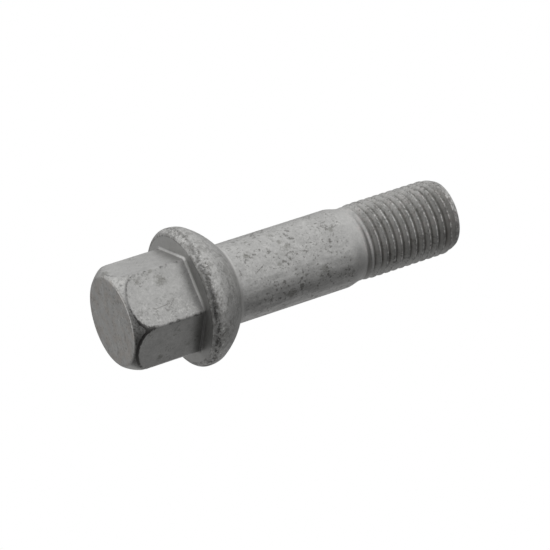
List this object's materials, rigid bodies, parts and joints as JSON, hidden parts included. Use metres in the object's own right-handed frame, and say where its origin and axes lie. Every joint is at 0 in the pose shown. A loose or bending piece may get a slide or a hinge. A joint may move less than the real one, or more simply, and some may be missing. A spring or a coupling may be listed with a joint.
{
  "type": "wheel bolt",
  "caption": "Wheel bolt: a hexagon head forged in one with a round collar and ball seat, a long plain shank and a short threaded end.",
  "frame": {"origin": "centre of the head's flat end face, on which the bolt stands", "axes": "+Z along the bolt's axis from the head to the threaded tip; +X square to one of the hexagon's flats"},
  "size_m": [0.025, 0.025, 0.0675],
  "materials": {
    "coated_steel": "matte grey zinc-flake coating on cold-forged steel"
  },
  "bodies": {
    "root": {"wheel_bolt": "coated_steel"}
  },
  "joints": []
}
